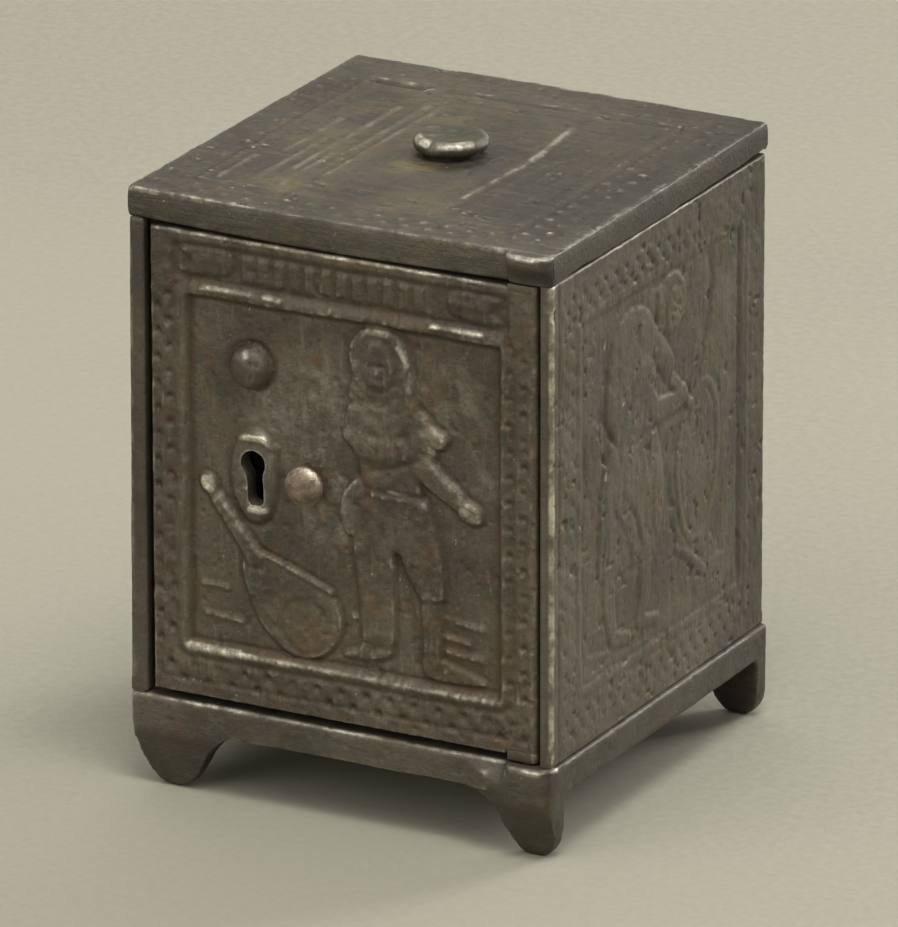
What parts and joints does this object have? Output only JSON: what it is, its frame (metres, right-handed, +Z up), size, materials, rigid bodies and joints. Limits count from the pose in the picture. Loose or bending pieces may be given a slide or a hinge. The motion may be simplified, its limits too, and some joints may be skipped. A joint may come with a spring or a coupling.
{
  "type": "toy safe coin bank",
  "caption": "Small cast-iron toy safe for coins on four bracket feet, with a hinged, lockable, relief-decorated door, panelled sides, and a flat lid held by a central tie screw.",
  "frame": {"origin": "middle of the bounding box in X and Y, on the standing surface under the feet", "axes": "X to the right seen from the front, Y to the back, Z up; the door faces -Y"},
  "size_m": [0.0578, 0.0596, 0.0786],
  "materials": {
    "iron_case": "dark worn patina, bright along the edges",
    "iron_panel": "dark worn patina, brown in the hollows",
    "iron_door": "dark worn patina, brown in the hollows",
    "worn_screw": "dark iron, rubbed bright on the rim",
    "worn_knob": "rubbed bright, slightly coppery",
    "lock_iron": "plain dark casting",
    "lock_steel": "dull steel"
  },
  "bodies": {
    "case": {"base_casting": "iron_case", "left_wall": "iron_panel", "right_wall": "iron_panel", "back_wall": "iron_panel", "top_plate": "iron_case", "tie_screw": "worn_screw", "tie_nut": "worn_screw"},
    "door_leaf": {"door": "iron_door", "door_knob": "worn_knob", "lock_case": "lock_iron", "lock_spring": "lock_steel", "lock_screw": "lock_steel"},
    "bolt": {"lock_bolt": "lock_steel"}
  },
  "joints": [
    {"name": "door_hinge", "type": "hinge", "parent": "case", "child": "door_leaf", "pos_m": [0.0247, -0.02595, 0.042], "axis": [0, 0, 1], "range_deg": [0, 100]},
    {"name": "bolt_slide", "type": "slide", "parent": "door_leaf", "child": "bolt", "axis": [-1, 0, 0], "range_m": [0, 0.003]}
  ]
}
